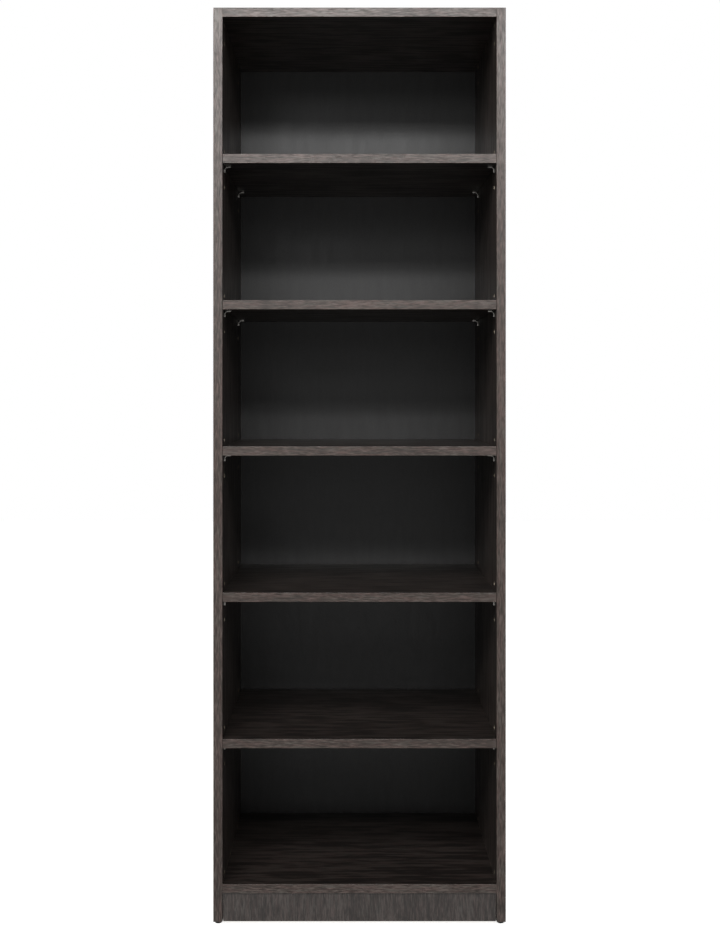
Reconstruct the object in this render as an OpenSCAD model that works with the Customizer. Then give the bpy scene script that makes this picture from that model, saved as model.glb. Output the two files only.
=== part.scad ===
// Tall bookcase with five adjustable shelves, in millimetres.
// The origin is on the floor under the middle of the case. +Z is up, +X is to
// the right and -Y is towards the open front.

/* [Case] */
// Width over both side panels
case_w = 512; // [400:2:900]
// Depth from the front edges to the rear edges of the side panels
case_d = 400; // [360:1:480]
// Thickness of every board in the case and of the shelves
board_t = 16; // [15:1:19]
// Height of the kick board under the bottom panel
kick_h = 50; // [40:1:90]
// Thickness of the edging glued to every front edge
edging_t = 1; // [0.4:0.1:2]

/* [Back panel] */
// Thickness of the hardboard back
back_t = 3; // [2.5:0.5:5]
// Space left behind the back panel
back_recess = 10; // [8:1:16]
// Depth of the groove that holds the back panel
groove_depth = 5; // [4:0.5:7]

/* [Shelves] */
// Clear height of the lowest compartment
lowest_clear_h = 238; // [180:1:320]
// Clear height under the top panel
highest_clear_h = 240; // [180:1:320]
// Hole rows from one shelf to the next
rows_per_shelf = 8; // [6:1:10]
// Gap between each end of a shelf and the side panel
shelf_end_gap = 0.5; // [0.5:0.25:2]
// Gap between the back of a shelf and the back panel
shelf_back_gap = 2; // [1:0.5:6]

/* [Shelf supports] */
// Distance from one support hole up to the next
hole_pitch = 32; // [32]
// Radius of a support hole
hole_r = 2.5; // [2.5:0.05:3]
// Depth of a support hole
hole_depth = 10; // [9:0.5:12]
// Distance from the front edge to the front column of holes
column_setback = 37; // [30:1:60]
// Distance from the front column of holes to the rear column
column_spacing = 288; // [128:32:288]
// Radius of a support's pin
pin_r = 2.45; // [2.3:0.05:2.45]
// Length of a support's pin inside the hole
pin_length = 8; // [6:0.5:8.5]
// Width of the support's metal strip, front to back
strip_w = 10; // [8:0.5:12]
// Thickness of the support's metal strip
strip_t = 2; // [1.6:0.1:2.4]
// Length of the arm under the shelf, measured from the side panel
arm_length = 11.8; // [9:0.2:14]
// Length of the leg against the side panel, measured from the arm's top
leg_length = 11; // [9:0.2:12]
// Outside radius of the bend between arm and leg
bend_r = 6.4; // [3:0.1:7]
// Distance from the arm's top down to the middle of the pin
pin_drop = 5.2; // [5:0.1:5.5]

/* [Floor glides] */
// Height of a glide
glide_h = 5; // [4:0.5:8]
// Radius of a glide against the side panel
glide_top_r = 8; // [6:0.5:8]
// Radius of a glide's flat on the floor
glide_floor_r = 5.5; // [4:0.5:5.5]
// Distance from the front or rear edge to the middle of a glide
glide_setback = 12; // [10:1:40]

/* [Fittings] */
// Radius of a cam lock
cam_r = 7.4; // [7.4]
// Height of a cam lock
cam_h = 12.2; // [12.2]
// Distance from the end of a panel to the middle of its cam lock
cam_setback = 34; // [24:1:34]
// Distance from a panel's front or rear edge to its cam locks
cam_inset = 60; // [50:1:90]
// Distance from a cam lock's bolt to the dowel beside it
dowel_offset = 32; // [24:1:40]
// Radius of a dowel
dowel_r = 4; // [3:0.5:4]
// Length of a dowel in the end of a panel
dowel_in_panel = 20; // [15:1:24]
// Length of a dowel in a side panel
dowel_in_side = 10; // [8:1:11]
// Side of the corner blocks behind the kick board
block_size = 22; // [18:1:26]
// Distance from the middle of the case to each corner block
block_x = 150; // [80:5:180]

/* [Hidden] */
$fn = 64;
slack = 0.2;                 // clearance round fittings that are pushed in by hand
shelf_lift = 0.2;            // clearance between a shelf and the arms that carry it
overrun = 1;                 // how far a cutting shape passes the face that it opens
shelf_count = 5;

half_w = case_w / 2;
inner_w = case_w - 2 * board_t;
half_inner = inner_w / 2;
front_y = -case_d / 2;
rear_y = case_d / 2;
core_front_y = front_y + edging_t;

bottom_z = glide_h + kick_h;              // underside of the bottom panel
floor_z = bottom_z + board_t;             // floor of the lowest compartment
shelf_spacing = rows_per_shelf * hole_pitch;
lowest_shelf_z = floor_z + lowest_clear_h;  // underside of the lowest shelf
top_z = lowest_shelf_z + (shelf_count - 1) * shelf_spacing + board_t + highest_clear_h;
case_h = top_z + board_t;

back_y = rear_y - back_recess - back_t;   // front face of the back panel
back_in_groove = groove_depth - 0.5;
groove_slack = 0.1;

shelf_w = inner_w - 2 * shelf_end_gap;
shelf_rear_y = back_y - shelf_back_gap;

column_ys = [front_y + column_setback, front_y + column_setback + column_spacing];
column_names = ["front", "rear"];
side_names = ["left", "right"];
side_signs = [-1, 1];
hole_rows = [-1, 0, 1];                   // one spare hole below and one above each pin

cam_ys = [front_y + cam_inset, rear_y - cam_inset];
bolt_r = 3;
bolt_head_r = 3.4;
bolt_thread_r = 2.5;
bolt_thread_depth = 11;
cap_t = 1;                                // cover over a cam lock, flush with the top
cam_bore_depth = cam_h + cap_t + 2 * slack;

kick_gap = 1;                             // gap at each end of the kick board
kick_top_gap = 0.6;                       // gap between the kick board and the bottom panel
kick_recess = 3;                          // kick board set back from the front edges
kick_front_y = front_y + kick_recess;
kick_rear_y = kick_front_y + board_t;
screw_r = 2;
screw_head_r = 3.6;
screw_head_h = 2.2;
screw_length = 12;
nail_r = 1;
nail_length = 14;

function shelf_z(n) = lowest_shelf_z + (n - 1) * shelf_spacing;
function pin_z(n) = shelf_z(n) - shelf_lift - pin_drop;

shelf_names = [for (n = [1:shelf_count]) str("shelf_", n)];
shelf_edging_names = [for (n = [1:shelf_count]) str("shelf_", n, "_edging")];
function support_name(n, c, s) =
    str("support_", n, "_", column_names[c], "_", side_names[s]);
support_names = [
    for (n = [1:shelf_count])
        for (c = [0, 1])
            for (s = [0, 1]) support_name(n, c, s)
];

board_colour = "#3b322d";
edging_colour = "#463c37";
hardboard_colour = "#2b2928";
nickel_colour = "#b9b6ae";
zinc_colour = "#9c9c9a";
plastic_colour = "#1c1b1a";
beech_colour = "#c9a873";

// A cylinder along X, from x0 to x1, at y and z.
module rod_x(x0, x1, y, z, r) {
    translate([x0, y, z])
        rotate([0, 90, 0])
            cylinder(h = x1 - x0, r = r);
}

// Draws its children at the left end, and mirrored at the right end.
module both_ends() {
    children();
    mirror([1, 0, 0])
        children();
}

// ---- Boards ----

// The left side panel. The right one is its mirror image.
module side_panel() {
    color(board_colour)
        difference() {
            translate([-half_w, core_front_y, glide_h])
                cube([board_t, case_d - edging_t, case_h - glide_h]);
            back_groove_in_side();
            for (n = [1:shelf_count], y = column_ys, row = hole_rows)
                rod_x(-half_inner - hole_depth, -half_inner + overrun, y,
                      pin_z(n) + row * hole_pitch, hole_r);
            for (z = panel_middles(), y = cam_ys)
                rod_x(-half_inner - bolt_thread_depth, -half_inner + overrun, y, z,
                      bolt_thread_r + slack / 2);
            for (z = panel_middles(), y = dowel_ys())
                rod_x(-half_inner - dowel_in_side - slack, -half_inner + overrun, y, z,
                      dowel_r + slack / 4);
            for (y = glide_ys())
                translate([-half_w + board_t / 2, y, glide_h - overrun])
                    cylinder(h = nail_length + overrun + slack, r = nail_r + slack / 4);
        }
}

module back_groove_in_side() {
    translate([-half_inner - groove_depth, back_y - groove_slack, floor_z - groove_depth])
        cube([groove_depth + overrun, back_t + 2 * groove_slack,
              top_z - floor_z + 2 * groove_depth]);
}

// Middle heights of the bottom panel and the top panel.
function panel_middles() = [bottom_z + board_t / 2, top_z + board_t / 2];
function dowel_ys() = [cam_ys[0] + dowel_offset, cam_ys[1] - dowel_offset];
function glide_ys() = [front_y + glide_setback, rear_y - glide_setback];

module left_side() {
    side_panel();
}

module right_side() {
    mirror([1, 0, 0])
        side_panel();
}

// A panel between the sides, with its lower face at z = 0. The groove for the
// back is cut into the face at groove_z, and the cam locks open in the other.
module cross_panel(groove_up) {
    groove_z = groove_up ? board_t - groove_depth : -overrun;
    cam_z = groove_up ? -overrun : board_t - cam_bore_depth;
    difference() {
        translate([-half_inner, core_front_y, 0])
            cube([inner_w, case_d - edging_t, board_t]);
        translate([-half_inner - overrun, back_y - groove_slack, groove_z])
            cube([inner_w + 2 * overrun, back_t + 2 * groove_slack, groove_depth + overrun]);
        both_ends() {
            for (y = cam_ys) {
                translate([-half_inner + cam_setback, y, cam_z])
                    cylinder(h = cam_bore_depth + overrun, r = cam_r + slack / 2);
                rod_x(-half_inner - overrun, -half_inner + cam_setback, y, board_t / 2,
                      bolt_head_r + slack);
            }
            for (y = dowel_ys())
                rod_x(-half_inner - overrun, -half_inner + dowel_in_panel + slack, y,
                      board_t / 2, dowel_r + slack / 4);
        }
    }
}

module top_panel() {
    color(board_colour)
        translate([0, 0, top_z])
            cross_panel(groove_up = false);
}

module bottom_panel() {
    color(board_colour)
        difference() {
            translate([0, 0, bottom_z])
                cross_panel(groove_up = true);
            for (s = side_signs)
                block_screw_up(s, slack / 4);
        }
}

module kick_board() {
    color(board_colour)
        difference() {
            translate([-half_inner + kick_gap, kick_front_y, glide_h])
                cube([inner_w - 2 * kick_gap, board_t, kick_h - kick_top_gap]);
            for (s = side_signs)
                block_screw_forward(s, slack / 4);
        }
}

module back_panel() {
    color(hardboard_colour)
        translate([-half_inner - back_in_groove, back_y, floor_z - back_in_groove])
            cube([inner_w + 2 * back_in_groove, back_t,
                  top_z - floor_z + 2 * back_in_groove]);
}

// ---- Edging ----

// A strip of edging from one corner to the opposite one, on the front plane.
module edging_strip(x, z, w, h) {
    color(edging_colour)
        translate([x, front_y, z])
            cube([w, edging_t, h]);
}

module left_side_edging() {
    edging_strip(-half_w, glide_h, board_t, case_h - glide_h);
}

module right_side_edging() {
    edging_strip(half_inner, glide_h, board_t, case_h - glide_h);
}

module top_edging() {
    edging_strip(-half_inner, top_z, inner_w, board_t);
}

module bottom_edging() {
    edging_strip(-half_inner, bottom_z, inner_w, board_t);
}

// ---- Shelves and their supports ----

module shelf(n) {
    color(board_colour)
        translate([-shelf_w / 2, core_front_y, shelf_z(n)])
            cube([shelf_w, shelf_rear_y - core_front_y, board_t]);
}

module shelf_edging(n) {
    edging_strip(-shelf_w / 2, shelf_z(n), shelf_w, board_t);
}

// A strip of steel bent at a right angle, with a pin. The pin's axis is the
// local X axis, and the local YZ plane is the face of the side panel.
module support() {
    arm_z = pin_drop - strip_t;
    leg_z = pin_drop - leg_length;
    color(nickel_colour)
        translate([0, -strip_w / 2, 0]) {
            translate([bend_r, 0, arm_z])
                cube([arm_length - bend_r, strip_w, strip_t]);
            translate([0, 0, leg_z])
                cube([strip_t, strip_w, leg_length - bend_r]);
            translate([bend_r, 0, pin_drop - bend_r])
                rotate([-90, 0, 0])
                    rotate([0, 0, 180])
                        rotate_extrude(angle = 90)
                            translate([bend_r - strip_t, 0])
                                square([strip_t, strip_w]);
            translate([0, strip_w / 2, 0])
                rod_x(-pin_length, strip_t * 0.8, 0, 0, pin_r);
        }
}

// The support of shelf n in column c on the left side.
module left_support(n, c) {
    translate([-half_inner, column_ys[c], pin_z(n)])
        support();
}

// The support of shelf n in column c on side s.
module placed_support(n, c, s) {
    if (side_names[s] == "left")
        left_support(n, c);
    else
        mirror([1, 0, 0])
            left_support(n, c);
}

// ---- Glides and fittings ----

// Places its children under each of the four corners of the case.
module at_glides() {
    for (x = [-half_w + board_t / 2, half_w - board_t / 2], y = glide_ys())
        translate([x, y, 0])
            children();
}

module floor_glides() {
    rim_h = 1.5;
    color(plastic_colour)
        at_glides()
            difference() {
                union() {
                    cylinder(h = glide_h - rim_h, r1 = glide_floor_r, r2 = glide_top_r);
                    translate([0, 0, glide_h - rim_h])
                        cylinder(h = rim_h, r = glide_top_r);
                }
                translate([0, 0, rim_h])
                    cylinder(h = glide_h, r = nail_r + slack / 4);
            }
}

module glide_nails() {
    color(zinc_colour)
        at_glides()
            translate([0, 0, glide_h - 3])
                cylinder(h = nail_length + 3, r = nail_r);
}

// Places its children at each cam lock: the local origin is the middle of the
// lock on the panel's middle plane, and +Z points to the face that it opens in.
module at_cams() {
    both_ends()
        for (y = cam_ys) {
            translate([-half_inner + cam_setback, y, panel_middles()[1]])
                children();
            translate([-half_inner + cam_setback, y, panel_middles()[0]])
                rotate([180, 0, 0])
                    children();
        }
}

module cam_locks() {
    top = board_t / 2 - cap_t - slack;
    slot_w = 2 * (bolt_head_r + slack);
    driver_w = 1.6;
    driver_length = 9;
    color(zinc_colour)
        at_cams()
            difference() {
                translate([0, 0, top - cam_h])
                    cylinder(h = cam_h, r = cam_r);
                translate([-cam_r - overrun, -slot_w / 2, -slot_w / 2])
                    cube([cam_r + overrun + bolt_head_r, slot_w, slot_w]);
                for (turn = [45, 135])
                    rotate([0, 0, turn])
                        translate([-driver_length / 2, -driver_w / 2, top - 2])
                            cube([driver_length, driver_w, 2 + overrun]);
            }
}

module cam_bolts() {
    head_l = 3;
    color(nickel_colour)
        both_ends()
            for (y = cam_ys, z = panel_middles()) {
                rod_x(-half_inner - bolt_thread_depth + slack, -half_inner, y, z,
                      bolt_thread_r);
                rod_x(-half_inner, -half_inner + cam_setback - head_l, y, z, bolt_r);
                rod_x(-half_inner + cam_setback - head_l, -half_inner + cam_setback, y, z,
                      bolt_head_r);
            }
}

module cam_covers() {
    color(plastic_colour)
        both_ends()
            for (y = cam_ys)
                translate([-half_inner + cam_setback, y, case_h - cap_t])
                    cylinder(h = cap_t, r = cam_r);
}

module dowels() {
    color(beech_colour)
        both_ends()
            for (y = dowel_ys(), z = panel_middles())
                rod_x(-half_inner - dowel_in_side, -half_inner + dowel_in_panel, y, z,
                      dowel_r);
}

// Corner blocks hold the kick board to the underside of the bottom panel.
module kick_blocks() {
    color(plastic_colour)
        for (s = side_signs)
            difference() {
                translate([s * block_x - block_size / 2, kick_rear_y, bottom_z - block_size])
                    cube([block_size, block_size, block_size]);
                translate([s * block_x - block_size / 2 - overrun, kick_rear_y + block_size / 3,
                           bottom_z - block_size - overrun])
                    cube([block_size + 2 * overrun, block_size, block_size * 2 / 3 + overrun]);
                block_screw_up(s, slack / 4);
                block_screw_forward(s, slack / 4);
            }
}

// The screw from a corner block up into the bottom panel.
module block_screw_up(s, gap) {
    translate([s * block_x, kick_rear_y + block_size * 2 / 3, bottom_z - block_size / 3])
        block_screw(gap);
}

// The screw from a corner block forward into the kick board.
module block_screw_forward(s, gap) {
    translate([s * block_x, kick_rear_y + block_size / 3, bottom_z - block_size * 2 / 3])
        rotate([90, 0, 0])
            block_screw(gap);
}

// A pan-head screw with the underside of its head at z = 0, pointing to +Z.
module block_screw(gap) {
    cylinder(h = block_size / 3 + screw_length - 4 + gap, r = screw_r + gap);
    if (gap == 0)
        translate([0, 0, -screw_head_h])
            cylinder(h = screw_head_h, r = screw_head_r);
}

module kick_screws() {
    color(zinc_colour)
        for (s = side_signs) {
            block_screw_up(s, 0);
            block_screw_forward(s, 0);
        }
}

left_side();
right_side();
top_panel();
bottom_panel();
kick_board();
back_panel();
left_side_edging();
right_side_edging();
top_edging();
bottom_edging();
for (n = [1:shelf_count]) {
    shelf(n);
    shelf_edging(n);
}
for (n = [1:shelf_count], c = [0, 1], s = [0, 1]) {
    placed_support(n, c, s);
}
floor_glides();
glide_nails();
cam_locks();
cam_bolts();
cam_covers();
dowels();
kick_blocks();
kick_screws();
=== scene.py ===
"""The looks of a tall bookcase with adjustable shelves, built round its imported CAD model."""

import math

import bmesh
import bpy
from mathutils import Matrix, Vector

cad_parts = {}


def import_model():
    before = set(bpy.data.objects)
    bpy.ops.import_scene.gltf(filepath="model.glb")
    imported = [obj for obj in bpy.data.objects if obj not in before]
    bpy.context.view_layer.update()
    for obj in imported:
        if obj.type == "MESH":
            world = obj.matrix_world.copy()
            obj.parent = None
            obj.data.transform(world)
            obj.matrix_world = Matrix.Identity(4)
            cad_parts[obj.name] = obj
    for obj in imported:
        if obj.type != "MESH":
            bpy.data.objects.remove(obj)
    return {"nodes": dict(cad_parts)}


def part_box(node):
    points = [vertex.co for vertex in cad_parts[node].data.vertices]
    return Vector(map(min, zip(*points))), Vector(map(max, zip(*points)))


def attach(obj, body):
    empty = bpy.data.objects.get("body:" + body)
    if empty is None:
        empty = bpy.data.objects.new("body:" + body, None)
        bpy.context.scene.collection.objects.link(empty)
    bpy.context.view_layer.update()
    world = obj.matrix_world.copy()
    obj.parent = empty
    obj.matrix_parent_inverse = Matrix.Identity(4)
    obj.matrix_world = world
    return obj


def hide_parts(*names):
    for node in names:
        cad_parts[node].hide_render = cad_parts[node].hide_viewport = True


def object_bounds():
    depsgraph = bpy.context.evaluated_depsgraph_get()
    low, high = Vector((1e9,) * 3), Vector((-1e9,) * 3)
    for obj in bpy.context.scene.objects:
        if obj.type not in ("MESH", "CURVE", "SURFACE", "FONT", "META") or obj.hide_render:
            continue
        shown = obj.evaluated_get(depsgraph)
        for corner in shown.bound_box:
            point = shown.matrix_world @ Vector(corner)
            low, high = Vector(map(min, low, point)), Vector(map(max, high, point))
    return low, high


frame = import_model()
cad_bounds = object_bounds()

MM = 0.001
SHELVES = range(1, 6)
COLUMNS = ("front", "rear")
SIDES = ("left", "right")
X, Y, Z = 0, 1, 2

HOLE_PITCH = 32 * MM
SHELF_SPACING = 8 * HOLE_PITCH
HOLE_R = 2.5 * MM
HOLE_FROM = 0.1 * MM         # what counts as inside a hole, measured from the side's inner face
HOLE_TO = 10.3 * MM
PIN_DROP = 5.2 * MM          # from the top of a support's arm to the middle of its pin
SLACK = 0.05 * MM            # added to a mask so that it covers the surface it is meant for
SAME_PLACE = 0.01 * MM

# How far edges are bevelled, at most. Where a curve is made of short edges the bevel is
# clamped: it comes out at 0.03 mm on the supports and 0.055 mm at the mouths of the holes.
BOARD_EASE = 0.4 * MM
EDGING_EASE = 0.35 * MM
BACK_EASE = 0.2 * MM
SUPPORT_EASE = 0.3 * MM
MOUTH_CHIP = 0.8 * MM        # also how far bare particle board shows round a mouth

front_y = Vector(cad_bounds[0]).y
inner_x = abs(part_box("left_side")[1].x)      # from the middle of the case to a side's inner face
holes_end_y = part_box("support_1_rear_left")[1].y + HOLE_R     # ahead of this lie all the holes


# ---- Node trees ----

class Nodes:
    """A node tree, with one short method for each kind of node it uses."""

    def __init__(self, tree):
        self.nodes = tree.nodes
        self.links = tree.links
        self.nodes.clear()

    def feed(self, socket, value):
        """Links value to the socket if it is a socket, and stores it there if it is a number."""
        if isinstance(value, bpy.types.NodeSocket):
            self.links.new(value, socket)
        else:
            socket.default_value = value

    def split(self, vector):
        node = self.nodes.new("ShaderNodeSeparateXYZ")
        self.feed(node.inputs[0], vector)
        return node.outputs

    def math(self, operation, *values):
        node = self.nodes.new("ShaderNodeMath")
        node.operation = operation
        for socket, value in zip(node.inputs, values):
            self.feed(socket, value)
        return node.outputs[0]

    def range(self, value, low, high, to_low=0.0, to_high=1.0, kind="LINEAR"):
        """Value moved from low..high to to_low..to_high, and held there beyond the ends."""
        node = self.nodes.new("ShaderNodeMapRange")
        node.interpolation_type = kind
        for name, number in (("Value", value), ("From Min", low), ("From Max", high),
                             ("To Min", to_low), ("To Max", to_high)):
            self.feed(node.inputs[name], number)
        return node.outputs[0]

    def blend(self, *pairs):
        """The sum of the values, each times its share."""
        total = None
        for value, share in pairs:
            part = self.math("MULTIPLY", value, share)
            total = part if total is None else self.math("ADD", total, part)
        return total

    def within(self, value, middle, reach):
        """1 where value is less than reach away from middle."""
        away = self.math("ABSOLUTE", self.math("SUBTRACT", value, middle))
        return self.math("LESS_THAN", away, reach)


class Graph(Nodes):
    """The node tree of a new material."""

    def __init__(self, name):
        self.material = bpy.data.materials.new(name)
        self.material.use_nodes = True
        super().__init__(self.material.node_tree)
        self.shader = self.nodes.new("ShaderNodeBsdfPrincipled")
        output = self.nodes.new("ShaderNodeOutputMaterial")
        self.links.new(self.shader.outputs["BSDF"], output.inputs["Surface"])

    def position(self):
        return self.nodes.new("ShaderNodeTexCoord").outputs["Object"]

    def normal(self):
        return self.nodes.new("ShaderNodeTexCoord").outputs["Normal"]

    def scaled(self, vector, scale, offset=(0, 0, 0)):
        node = self.nodes.new("ShaderNodeMapping")
        self.feed(node.inputs["Vector"], vector)
        node.inputs["Scale"].default_value = scale
        node.inputs["Location"].default_value = offset
        return node.outputs[0]

    def noise(self, vector, scale=1.0, detail=3.0, roughness=0.6, distortion=0.0):
        node = self.nodes.new("ShaderNodeTexNoise")
        self.feed(node.inputs["Vector"], vector)
        node.inputs["Scale"].default_value = scale
        node.inputs["Detail"].default_value = detail
        node.inputs["Roughness"].default_value = roughness
        node.inputs["Distortion"].default_value = distortion
        return node.outputs["Fac"]

    def cells(self, vector, scale):
        node = self.nodes.new("ShaderNodeTexVoronoi")
        self.feed(node.inputs["Vector"], vector)
        node.inputs["Scale"].default_value = scale
        return node.outputs["Color"]

    def mix(self, factor, first, second, blend="MIX"):
        node = self.nodes.new("ShaderNodeMix")
        node.data_type = "RGBA"
        node.blend_type = blend
        self.feed(node.inputs["Factor"], factor)
        for name, value in (("A", first), ("B", second)):
            socket = next(s for s in node.inputs if s.name == name and s.type == "RGBA")
            self.feed(socket, value)
        return next(s for s in node.outputs if s.type == "RGBA")

    def tinted(self, colour, factor):
        """The colour with all three of its channels multiplied by factor."""
        node = self.nodes.new("ShaderNodeVectorMath")
        node.operation = "SCALE"
        self.feed(node.inputs[0], colour)
        self.feed(node.inputs["Scale"], factor)
        return node.outputs[0]

    def bump(self, height, strength, distance):
        node = self.nodes.new("ShaderNodeBump")
        node.inputs["Strength"].default_value = strength
        node.inputs["Distance"].default_value = distance
        self.feed(node.inputs["Height"], height)
        return node.outputs[0]

    def facing(self, component, sign, limit=0.7):
        """1 where this component of the normal, times sign, is above limit."""
        return self.math("GREATER_THAN", self.math("MULTIPLY", component, sign), limit)

    def set(self, **values):
        """Sets the shader's sockets; an underscore in a name stands for a space."""
        for name, value in values.items():
            self.feed(self.shader.inputs[name.replace("_", " ")], value)
        return self.material


def rgb(red, green, blue):
    return (red, green, blue, 1.0)


# ---- Wood grain ----

# Each layer of the grain: how fine it is along the grain and across it, in features per metre.
BANDS = (7, 45)
STREAKS = (52, 460)
FIBRES = (120, 1100)
PORES = (70, 1700)
TINTS = (30, 260)
WIDE_STREAKS = (11, 105)

BAND_SHARE = 0.20            # how much of the tone each layer gives
STREAK_SHARE = 0.62
FIBRE_SHARE = 0.18
WIDE_CONTRAST = 2.0
WIDE_SHARE = 0.55            # what the wide streaks take of a board's tone

DARK_TONE = 0.42             # the tones at which the dark, middle and light colours are reached
MID_TONE = 0.50
LIGHT_TONE = 0.58
DARK_GRAIN = rgb(0.0185, 0.0138, 0.0110)
MID_GRAIN = rgb(0.0400, 0.0318, 0.0264)
LIGHT_GRAIN = rgb(0.0730, 0.0620, 0.0540)
PORE_COLOUR = rgb(0.010, 0.008, 0.007)
PORE_DEPTH = 0.55
WARM_TINT = rgb(1.16, 0.95, 0.96)


def along(axis, layer, offset=(0, 0, 0)):
    """The scale and offset that stretch a layer of the grain along one axis of the board."""
    along_scale, across_scale = layer
    return tuple(along_scale if name == axis else across_scale for name in "XYZ"), offset


def wood_grain(graph, axis, seed, wide_share=0.0):
    """Colour, height and tone of a printed and embossed wood grain that runs along one axis."""
    place = graph.scaled(graph.position(), (1, 1, 1), (seed, seed * 1.7, seed * 0.6))
    bands = graph.noise(graph.scaled(place, *along(axis, BANDS)), 1.0, 3.0, 0.55, 0.5)
    streaks = graph.noise(graph.scaled(place, *along(axis, STREAKS)), 1.0, 3.0, 0.65, 0.2)
    fibres = graph.noise(graph.scaled(place, *along(axis, FIBRES)))
    pores = graph.noise(graph.scaled(place, *along(axis, PORES)), 1.0, 1.0, 0.5)
    tints = graph.noise(graph.scaled(place, *along(axis, TINTS, (4.1, 2.2, 7.7))), 1.0, 2.0, 0.5)
    pore = graph.range(pores, 0.60, 0.70)
    tone = graph.blend((bands, BAND_SHARE), (streaks, STREAK_SHARE), (fibres, FIBRE_SHARE))
    if wide_share:
        place_wide = graph.scaled(place, *along(axis, WIDE_STREAKS, (7.3, 1.9, 3.1)))
        wide = graph.math("SUBTRACT", graph.noise(place_wide, 1.0, 2.0), 0.5)
        wide = graph.math("ADD", graph.math("MULTIPLY", wide, WIDE_CONTRAST), 0.5)
        tone = graph.blend((tone, 1 - wide_share), (wide, wide_share))
    colour = graph.mix(graph.range(tone, DARK_TONE, MID_TONE), DARK_GRAIN, MID_GRAIN)
    colour = graph.mix(graph.range(tone, MID_TONE, LIGHT_TONE), colour, LIGHT_GRAIN)
    warm = graph.mix(1.0, colour, WARM_TINT, "MULTIPLY")
    colour = graph.mix(graph.range(tints, 0.35, 0.65), colour, warm)
    colour = graph.mix(graph.math("MULTIPLY", pore, PORE_DEPTH), colour, PORE_COLOUR)
    height = graph.math("SUBTRACT", graph.math("MULTIPLY", streaks, 0.7), pore)
    return colour, height, tone


# ---- Materials ----

CHIPBOARD_DARK = rgb(0.42, 0.33, 0.23)
CHIPBOARD_LIGHT = rgb(0.74, 0.65, 0.52)
CHIPBOARD_ROUGHNESS = 0.85
FLAKES = 900.0               # per metre
FLAKE_SHARE = 0.6            # the rest of the tone is coarser clouds
RAGGED_RIM = 0.4 * MM        # how unevenly the particle board shows round a hole's mouth

# Painted light and shade: what a board's colour is multiplied by where it faces down (painted
# light) and where it faces up (painted shade). It evens out the light inside the case, which the
# soft panels alone leave too dark under the shelves and too bright on top of them.
PAINTED_LIGHT_BELOW = 1.30
PAINTED_SHADE_ABOVE = 0.45

MELAMINE_RELIEF = 0.5 * MM
MELAMINE_SHINE = 0.95
EDGING_RELIEF = 0.12 * MM
EDGING_LIFT = 1.5            # how much lighter the edging is than the faces
PRINT_SHINE = 0.58           # of the edging and the back panel

PRINT_DARK = rgb(0.0175, 0.0172, 0.0168)
PRINT_LIGHT = rgb(0.0350, 0.0343, 0.0338)
HARDBOARD_DARK = rgb(0.13, 0.075, 0.04)
HARDBOARD_LIGHT = rgb(0.24, 0.15, 0.085)
HARDBOARD_ROUGHNESS = 0.8

# Features per metre along X, Y and Z.
MOTTLE = (60, 60, 14)
FINE_PRINT = (900, 900, 420)
PULP = (260, 260, 180)
SCRATCHES = (300, 4000, 300)
DOWEL_GRAIN = (60, 1200)     # along the dowel and across it


def chipboard(graph):
    """Colour and height of bare particle board: pressed flakes in several browns."""
    place = graph.position()
    flakes = graph.split(graph.cells(place, FLAKES))[X]
    tone = graph.blend((flakes, FLAKE_SHARE), (graph.noise(place, 420.0), 1 - FLAKE_SHARE))
    return graph.mix(tone, CHIPBOARD_DARK, CHIPBOARD_LIGHT), tone


def board_material(name, axis, raw_faces, seed, holes=False, wide_share=WIDE_SHARE):
    """Melamine-faced particle board. raw_faces lists the (component, sign) left bare."""
    graph = Graph(name)
    colour, height, tone = wood_grain(graph, axis, seed, wide_share)
    raw_colour, raw_height = chipboard(graph)
    normal = graph.split(graph.normal())
    # Painted light and shade: the grain's colour is made lighter on faces that point down and
    # darker on faces that point up.
    painted_shade = graph.range(normal[Z], -1.0, 1.0, PAINTED_LIGHT_BELOW, PAINTED_SHADE_ABOVE)
    colour = graph.tinted(colour, painted_shade)
    raw = 0.0
    for component, sign in raw_faces:
        raw = graph.math("MAXIMUM", raw, graph.facing(normal[component], sign))
    if holes:
        raw = graph.math("MAXIMUM", raw, hole_mask(graph))
    colour = graph.mix(raw, colour, raw_colour)
    roughness = graph.range(tone, DARK_TONE, LIGHT_TONE, 0.44, 0.34)
    roughness = graph.math("MAXIMUM", roughness, graph.math("MULTIPLY", raw, CHIPBOARD_ROUGHNESS))
    raw_relief = graph.math("MULTIPLY", raw, graph.math("MULTIPLY", raw_height, 0.30))
    height = graph.math("ADD", graph.math("MULTIPLY", height, 0.05), raw_relief)
    return graph.set(Base_Color=colour, Roughness=roughness, Specular_IOR_Level=MELAMINE_SHINE,
                     Normal=graph.bump(height, 1.0, MELAMINE_RELIEF))


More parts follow.
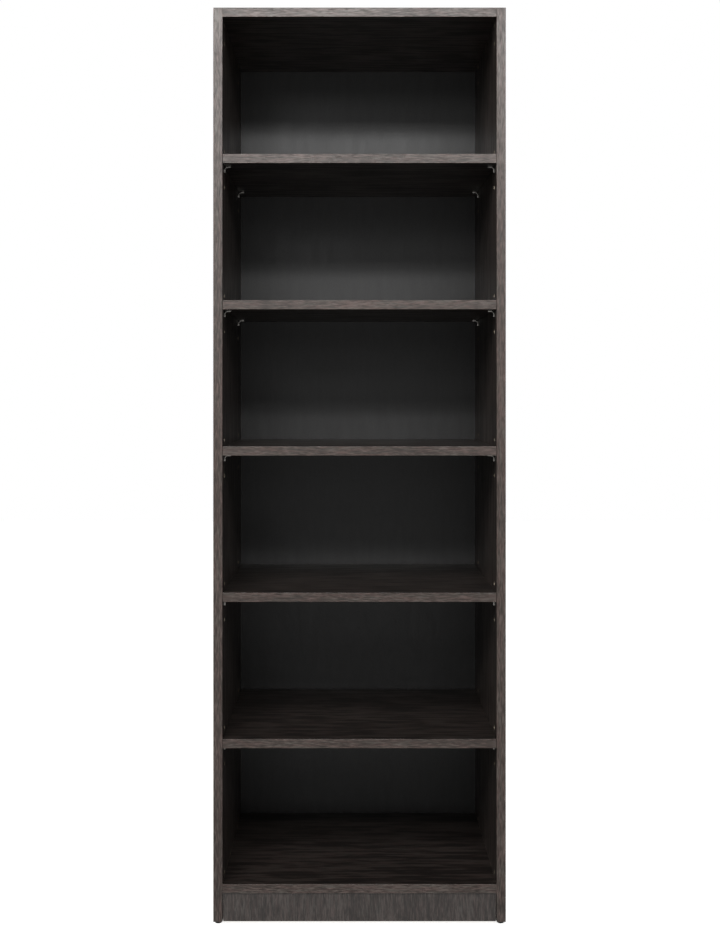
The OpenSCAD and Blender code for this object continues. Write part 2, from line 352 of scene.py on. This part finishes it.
def hole_mask(graph):
    """1 inside the support holes and on a ragged rim round each mouth."""
    x, y, z = graph.split(graph.position())
    from_middle = graph.math("ABSOLUTE", x)
    inside = graph.within(from_middle, inner_x + (HOLE_FROM + HOLE_TO) / 2,
                          (HOLE_TO - HOLE_FROM) / 2)
    at_mouth = graph.within(from_middle, inner_x, MOUTH_CHIP + SLACK)
    ragged = graph.noise(graph.position(), 900.0, 2.0)
    rim = graph.range(ragged, 0.3, 0.7, MOUTH_CHIP, MOUTH_CHIP + RAGGED_RIM)
    reach = graph.math("ADD", graph.math("MULTIPLY", at_mouth, rim), HOLE_R + SLACK)
    pin_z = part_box("support_1_front_left")[1].z - PIN_DROP
    shelf_offset = graph.math("WRAP", graph.math("SUBTRACT", z, pin_z),
                              SHELF_SPACING / 2, -SHELF_SPACING / 2)
    row_offset = graph.math("WRAP", shelf_offset, HOLE_PITCH / 2, -HOLE_PITCH / 2)
    near = 0.0
    for column in COLUMNS:
        low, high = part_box(f"support_1_{column}_left")
        column_offset = graph.math("SUBTRACT", y, (low.y + high.y) / 2)
        squares = graph.math("ADD", graph.math("MULTIPLY", row_offset, row_offset),
                             graph.math("MULTIPLY", column_offset, column_offset))
        in_hole = graph.math("LESS_THAN", graph.math("SQRT", squares), reach)
        near = graph.math("MAXIMUM", near, in_hole)
    near = graph.math("MULTIPLY", near, graph.within(shelf_offset, 0.0, 1.5 * HOLE_PITCH))
    return graph.math("MULTIPLY", near, graph.math("MAXIMUM", inside, at_mouth))


def edging_material(name, axis, seed):
    """Wood-grain edging, lighter and smoother than the faces."""
    graph = Graph(name)
    colour, height, tone = wood_grain(graph, axis, seed)
    colour = graph.mix(1.0, colour, rgb(EDGING_LIFT, EDGING_LIFT, EDGING_LIFT), "MULTIPLY")
    roughness = graph.range(tone, DARK_TONE, LIGHT_TONE, 0.47, 0.34)
    return graph.set(Base_Color=colour, Roughness=roughness, Specular_IOR_Level=PRINT_SHINE,
                     Normal=graph.bump(height, 1.0, EDGING_RELIEF))


def back_material():
    """Thin hardboard: a fine grey print in front, and bare brown fibre behind."""
    graph = Graph("back_board")
    place = graph.position()
    mottle = graph.noise(graph.scaled(place, MOTTLE), 1.0, 4.0)
    fine = graph.noise(graph.scaled(place, FINE_PRINT))
    tone = graph.blend((mottle, 0.5), (fine, 0.5))
    printed = graph.mix(graph.range(tone, 0.35, 0.65), PRINT_DARK, PRINT_LIGHT)
    fibre = graph.noise(graph.scaled(place, PULP), 1.0, 5.0, 0.65)
    bare = graph.mix(graph.range(fibre, 0.3, 0.7), HARDBOARD_DARK, HARDBOARD_LIGHT)
    behind = graph.facing(graph.split(graph.normal())[Y], 1)
    colour = graph.mix(behind, printed, bare)
    screen = graph.math("MULTIPLY", behind, graph.noise(place, 700.0, 1.0, 0.5))
    height = graph.math("ADD", graph.math("MULTIPLY", fine, 0.1), screen)
    roughness = graph.math("MAXIMUM", graph.range(mottle, 0.3, 0.7, 0.38, 0.46),
                           graph.math("MULTIPLY", behind, HARDBOARD_ROUGHNESS))
    return graph.set(Base_Color=colour, Roughness=roughness, Specular_IOR_Level=PRINT_SHINE,
                     Normal=graph.bump(height, 0.6, 0.07 * MM))


def metal_material(name, light, dark, polished, dull):
    """Plated metal, with fine scratches from polished to dull and clouds in the plating."""
    graph = Graph(name)
    place = graph.position()
    clouds = graph.noise(place, 160.0)
    scratches = graph.noise(graph.scaled(place, SCRATCHES), 1.0, 2.0)
    colour = graph.mix(graph.range(clouds, 0.35, 0.7), light, dark)
    roughness = graph.range(scratches, 0.3, 0.7, polished, dull)
    return graph.set(Base_Color=colour, Metallic=1.0, Roughness=roughness,
                     Normal=graph.bump(scratches, 0.2, 0.02 * MM))


def plastic_material():
    """Black moulded plastic with a fine texture."""
    graph = Graph("black_plastic")
    place = graph.position()
    grain = graph.noise(place, 2500.0, 2.0)
    dust = graph.noise(place, 90.0)
    colour = graph.mix(graph.range(dust, 0.4, 0.8), rgb(0.014, 0.0135, 0.013),
                       rgb(0.030, 0.028, 0.026))
    return graph.set(Base_Color=colour, Roughness=graph.range(dust, 0.3, 0.7, 0.45, 0.65),
                     Normal=graph.bump(grain, 0.3, 0.05 * MM))


def beech_material():
    """Bare beech dowel with short pores along X."""
    graph = Graph("beech")
    grain = graph.noise(graph.scaled(graph.position(), *along("X", DOWEL_GRAIN)))
    colour = graph.mix(graph.range(grain, 0.35, 0.65), rgb(0.40, 0.24, 0.12),
                       rgb(0.66, 0.47, 0.28))
    return graph.set(Base_Color=colour, Roughness=0.7, Normal=graph.bump(grain, 0.4, 0.1 * MM))


REAR = [(Y, 1)]
UNDERSIDE = [(Z, -1)]
ENDS = [(X, 1), (X, -1)]

# The number that each wood material is given shifts its grain.
materials = {
    "side": board_material("side_board", "Z", REAR + UNDERSIDE, 0.0, holes=True),
    "cross": board_material("cross_board", "X", REAR + ENDS, 3.0),
    "kick": board_material("kick_board", "Z", UNDERSIDE + ENDS, 5.0, wide_share=0.0),
    "edge_x": edging_material("edging_across", "X", 7.0),
    "edge_z": edging_material("edging_upright", "Z", 9.0),
    "back": back_material(),
    "nickel": metal_material("nickel", rgb(0.62, 0.60, 0.56), rgb(0.48, 0.46, 0.42), 0.16, 0.34),
    "zinc": metal_material("zinc", rgb(0.50, 0.50, 0.49), rgb(0.36, 0.36, 0.35), 0.35, 0.55),
    "plastic": plastic_material(),
    "beech": beech_material(),
}
for number in SHELVES:
    materials[f"shelf_{number}"] = board_material(
        f"shelf_board_{number}", "X", REAR + ENDS, 10.0 + 2.3 * number)


def give(thing, material):
    """Makes the material the only one on the object."""
    thing.data.materials.clear()
    thing.data.materials.append(material)


# ---- Pieces ----

def on_outline(edge, low, high):
    """Whether the edge lies where two faces of the box from low to high meet."""
    faces_met = 0
    for axis in (X, Y, Z):
        ends = [vertex.co[axis] for vertex in edge.verts]
        for limit in (low[axis], high[axis]):
            if all(abs(end - limit) < SAME_PLACE for end in ends):
                faces_met += 1
    return faces_met == 2


def at_hole_mouth(edge):
    """Whether the edge is part of a circle where a hole opens in a side's inner face."""
    for vertex in edge.verts:
        if abs(abs(vertex.co.x) - inner_x) > SAME_PLACE or vertex.co.y > holes_end_y:
            return False
    return edge.calc_length() < HOLE_R


def bevelled(mesh, edges, width, segments):
    """Bevels the edges by width, or by less where they leave no room for that."""
    bmesh.ops.bevel(mesh, geom=edges, offset=width, offset_type="OFFSET", segments=segments,
                    profile=0.5, affect="EDGES", clamp_overlap=True)


def rounded_copy(node, radius, outline=False, mouths=False):
    """A new piece in the shape of a CAD node, with its edges eased by radius at most.

    With outline, only the edges of its box are eased: holes and grooves stay sharp.
    With mouths, the mouths of the holes in its inner face are eased too.
    """
    mesh = bmesh.new()
    mesh.from_mesh(frame["nodes"][node].data)
    bmesh.ops.remove_doubles(mesh, verts=mesh.verts, dist=0.001 * MM)
    bmesh.ops.dissolve_limit(mesh, angle_limit=math.radians(1), verts=mesh.verts,
                             edges=mesh.edges)
    low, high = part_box(node)
    sharp = [edge for edge in mesh.edges
             if edge.is_manifold and edge.calc_face_angle(0) > math.radians(35)
             and (not outline or on_outline(edge, low, high))]
    bevelled(mesh, sharp, radius, segments=2)
    if mouths:
        circles = [edge for edge in mesh.edges if at_hole_mouth(edge)]
        bevelled(mesh, circles, MOUTH_CHIP, segments=1)
    bmesh.ops.recalc_face_normals(mesh, faces=mesh.faces)
    data = bpy.data.meshes.new(f"{node}_mesh")
    mesh.to_mesh(data)
    mesh.free()
    piece = bpy.data.objects.new(f"{node}_piece", data)
    bpy.context.scene.collection.objects.link(piece)
    return piece


def stand_in(node, body, piece, material):
    """Makes piece stand for the CAD node: gives it the material, puts it on its body and hides the
    node.
    """
    give(piece, material)
    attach(piece, body)
    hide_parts(node)


def smooth_by_angle(piece, degrees=40):
    for polygon in piece.data.polygons:
        polygon.use_smooth = True
    piece.data.set_sharp_from_angle(angle=math.radians(degrees))


def board(node, body, material, mouths=False):
    piece = rounded_copy(node, BOARD_EASE, outline=True, mouths=mouths)
    stand_in(node, body, piece, materials[material])


def edging(node, body, axis):
    piece = rounded_copy(node, EDGING_EASE, outline=True)
    stand_in(node, body, piece, materials[f"edge_{axis}"])


def case():
    board("left_side", "case", "side", mouths=True)
    board("right_side", "case", "side", mouths=True)
    board("top_panel", "case", "cross")
    board("bottom_panel", "case", "cross")
    board("kick_board", "case", "kick")
    back = rounded_copy("back_panel", BACK_EASE, outline=True)
    stand_in("back_panel", "case", back, materials["back"])
    edging("left_side_edging", "case", "z")
    edging("right_side_edging", "case", "z")
    edging("top_edging", "case", "x")
    edging("bottom_edging", "case", "x")


def shelves():
    for number in SHELVES:
        body = f"shelf_{number}"
        board(body, body, body)
        edging(f"{body}_edging", body, "x")


def fittings():
    """The fittings keep their CAD meshes and only take a material."""
    for node, material in (("cam_covers", "plastic"), ("floor_glides", "plastic"),
                           ("glide_nails", "zinc"), ("cam_locks", "zinc"),
                           ("cam_bolts", "nickel"), ("dowels", "beech"),
                           ("kick_blocks", "plastic"), ("kick_screws", "zinc")):
        give(frame["nodes"][node], materials[material])


def supports():
    for number in SHELVES:
        for column in COLUMNS:
            for side in SIDES:
                name = f"support_{number}_{column}_{side}"
                piece = rounded_copy(name, SUPPORT_EASE)
                smooth_by_angle(piece)
                stand_in(name, name, piece, materials["nickel"])


case()
shelves()
fittings()
supports()


# ---- Floor, light and camera ----

WHITE = rgb(1, 1, 1)
FLOOR_SIZE = 14.0
FLOOR_GLOW = 0.75            # keeps the floor as pale as the room seen past its edge

# How bright the room ahead is, by how far up (1) or down (-1) one looks from the case.
ROOM_BY_HEIGHT = [(-0.60, 0.0), (-0.43, 0.80), (-0.30, 0.70), (-0.20, 0.45), (-0.13, 0.30),
                  (-0.06, 0.30), (-0.02, 0.10), (0.08, 0.10), (0.12, 0.50), (0.28, 0.50),
                  (0.32, 0.0)]
ROOM_BEHIND = 0.6            # the same all over the half of the room behind the case
PANEL_AHEAD = 3.31           # from the front of the case to the light panels
CAMERA_AHEAD = 2.255
CAMERA_X = -0.018
CAMERA_Z = 0.926
FOCAL_LENGTH = 50            # in mm, on a sensor 36 mm high
SENSOR_HEIGHT = 36
FRAME_SHIFT_X = 0.0116       # how far the frame is off the line of sight, in sensor heights
FRAME_SHIFT_Y = -0.0737


def floor():
    bpy.ops.mesh.primitive_plane_add(size=FLOOR_SIZE, location=(0, 0, 0))
    thing = bpy.context.active_object
    thing.name = "floor"
    graph = Graph("pale_floor")
    mottle = graph.noise(graph.position(), 6.0, 3.0, 0.5)
    colour = graph.mix(mottle, rgb(0.86, 0.86, 0.86), rgb(0.90, 0.90, 0.90))
    give(thing, graph.set(Base_Color=colour, Roughness=0.9, Emission_Color=WHITE,
                          Emission_Strength=FLOOR_GLOW))
    thing.visible_diffuse = False
    thing.visible_glossy = False


def aimed(thing, place, target):
    thing.location = place
    thing.rotation_euler = (Vector(target) - Vector(place)).to_track_quat("-Z", "Y").to_euler()


def soft_panel(name, left, right, low, high, brightness):
    """An upright light panel ahead of the case, facing it, between the limits in X and Z."""
    data = bpy.data.lights.new(name, "AREA")
    data.shape = "RECTANGLE"
    data.size = right - left
    data.size_y = high - low
    data.energy = brightness * math.pi * data.size * data.size_y
    thing = bpy.data.objects.new(name, data)
    bpy.context.scene.collection.objects.link(thing)
    place = ((left + right) / 2, front_y - PANEL_AHEAD, (low + high) / 2)
    aimed(thing, place, (place[X], 0, place[Z]))


def world():
    """White to the camera. To everything else a soft room, its brightness set by direction."""
    scene_world = bpy.data.worlds.new("white_room")
    bpy.context.scene.world = scene_world
    scene_world.use_nodes = True
    room = Nodes(scene_world.node_tree)
    place = room.nodes.new("ShaderNodeTexCoord")
    direction = room.split(place.outputs["Generated"])
    level = room.nodes.new("ShaderNodeValToRGB")
    stops = level.color_ramp.elements
    for end in stops:
        end.color = rgb(0, 0, 0)
    for height, bright in ROOM_BY_HEIGHT:
        stops.new((height + 1) / 2).color = rgb(bright, bright, bright)
    room.feed(level.inputs[0], room.range(direction[Z], -1, 1))
    behind = room.range(direction[Y], -0.02, 0.15, kind="SMOOTHSTEP")
    ahead = room.math("SUBTRACT", 1, behind)
    strength = room.math("ADD", room.math("MULTIPLY", level.outputs[0], ahead),
                         room.math("MULTIPLY", behind, ROOM_BEHIND))
    lit = room.nodes.new("ShaderNodeBackground")
    lit.inputs["Color"].default_value = WHITE
    room.feed(lit.inputs["Strength"], strength)
    seen = room.nodes.new("ShaderNodeBackground")
    seen.inputs["Color"].default_value = WHITE
    rays = room.nodes.new("ShaderNodeLightPath")
    choice = room.nodes.new("ShaderNodeMixShader")
    output = room.nodes.new("ShaderNodeOutputWorld")
    room.feed(choice.inputs[0], rays.outputs["Is Camera Ray"])
    room.feed(choice.inputs[1], lit.outputs[0])
    room.feed(choice.inputs[2], seen.outputs[0])
    room.feed(output.inputs["Surface"], choice.outputs[0])


def camera():
    data = bpy.data.cameras.new("camera")
    data.lens = FOCAL_LENGTH
    data.sensor_fit = "VERTICAL"
    data.sensor_height = SENSOR_HEIGHT
    data.shift_x = FRAME_SHIFT_X
    data.shift_y = FRAME_SHIFT_Y
    thing = bpy.data.objects.new("camera", data)
    bpy.context.scene.collection.objects.link(thing)
    eye = (CAMERA_X, front_y - CAMERA_AHEAD, CAMERA_Z)
    aimed(thing, eye, (eye[X], 0, eye[Z]))
    bpy.context.scene.camera = thing


floor()
world()
camera()
# Each panel: its left and right ends, its lower and upper edges, and its brightness.
soft_panel("key_foot", -2.4, 1.8, 2.45, 2.60, 8.7)
soft_panel("key", -2.4, 1.8, 2.60, 2.80, 22.0)
soft_panel("key_head", -2.4, 1.8, 2.80, 3.05, 3.7)
soft_panel("upper", -3.6, 1.2, 3.40, 4.80, 10.4)
soft_panel("low_left", -1.7, -0.7, 1.90, 2.30, 4.7)
soft_panel("low", -0.9, 0.5, 1.30, 2.20, 0.43)
bpy.context.scene.view_settings.view_transform = "Standard"
